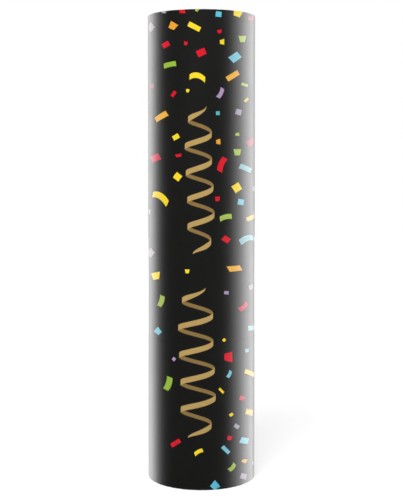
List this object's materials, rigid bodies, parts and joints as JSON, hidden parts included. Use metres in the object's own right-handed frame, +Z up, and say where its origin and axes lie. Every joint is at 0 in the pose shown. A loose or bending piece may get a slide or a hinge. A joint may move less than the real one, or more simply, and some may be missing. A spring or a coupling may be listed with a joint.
{
  "type": "confetti popper",
  "caption": "Printed board tube that fires paper slips: turning the grip trips a latch lever, which frees an air bottle's stopper, so a wad drives the slips and cover out.",
  "frame": {"origin": "centre of the foot, on the surface that the grip stands on", "axes": "+Z up along the tube towards the muzzle, -Y towards the viewer of the picture, +X to that viewer's right"},
  "size_m": [0.0464, 0.0464, 0.2],
  "materials": {
    "printed_wrap": "satin",
    "tube_board": "matte",
    "packing_card": "matte",
    "cap_plastic": "satin",
    "housing_plastic": "satin",
    "collar_plastic": "satin",
    "bottle_aluminium": "satin",
    "lever_steel": "satin",
    "stopper_rubber": "matte",
    "wad_card": "matte",
    "cover_foil": "gloss",
    "paper_red": "matte",
    "paper_orange": "matte",
    "paper_yellow": "matte",
    "paper_green": "matte",
    "paper_blue": "matte",
    "paper_lilac": "matte"
  },
  "bodies": {
    "barrel": {"barrel_tube": "tube_board", "barrel_wrap": "printed_wrap", "valve_housing": "housing_plastic", "retaining_ring": "housing_plastic"},
    "base": {"grip_tube": "tube_board", "grip_wrap": "printed_wrap", "inner_sleeve": "tube_board", "base_cap": "cap_plastic", "packing_ring": "packing_card", "air_bottle": "bottle_aluminium", "neck_collar": "collar_plastic", "lever_pin": "lever_steel"},
    "lever": {"latch_lever": "lever_steel"},
    "stopper": {"stopper": "stopper_rubber", "seal_ring": "stopper_rubber"},
    "charge": {"slips_red": "paper_red", "slips_orange": "paper_orange", "slips_yellow": "paper_yellow", "slips_green": "paper_green", "slips_blue": "paper_blue", "slips_lilac": "paper_lilac"},
    "wad": {"wad_cup": "wad_card", "wad_disc": "wad_card"},
    "cover": {"muzzle_cover": "cover_foil"}
  },
  "joints": [
    {"name": "grip_twist", "type": "hinge", "parent": "barrel", "child": "base", "pos_m": [0, 0, 0], "axis": [0, 0, 1], "range_deg": [0, 60]},
    {"name": "lever_flip", "type": "hinge", "parent": "base", "child": "lever", "pos_m": [-0.0117, 0, 0.0937], "axis": [0, -1, 0], "range_deg": [0, 60]},
    {"name": "stopper_lift", "type": "slide", "parent": "base", "child": "stopper", "axis": [0, 0, 1], "range_m": [0, 0.007]},
    {"name": "charge_launch", "type": "slide", "parent": "barrel", "child": "charge", "axis": [0, 0, 1], "range_m": [0, 0.1]},
    {"name": "wad_push", "type": "slide", "parent": "barrel", "child": "wad", "axis": [0, 0, 1], "range_m": [0, 0.08]},
    {"name": "cover_pop", "type": "slide", "parent": "barrel", "child": "cover", "axis": [0, 0, 1], "range_m": [0, 0.128]}
  ],
  "couplings": [
    {"joint": "lever_flip", "follows": "grip_twist", "ratio": 1},
    {"joint": "stopper_lift", "follows": "grip_twist", "m_per_rad": 0.0066845},
    {"joint": "wad_push", "follows": "charge_launch", "ratio": 0.8},
    {"joint": "cover_pop", "follows": "charge_launch", "ratio": 1.28}
  ]
}
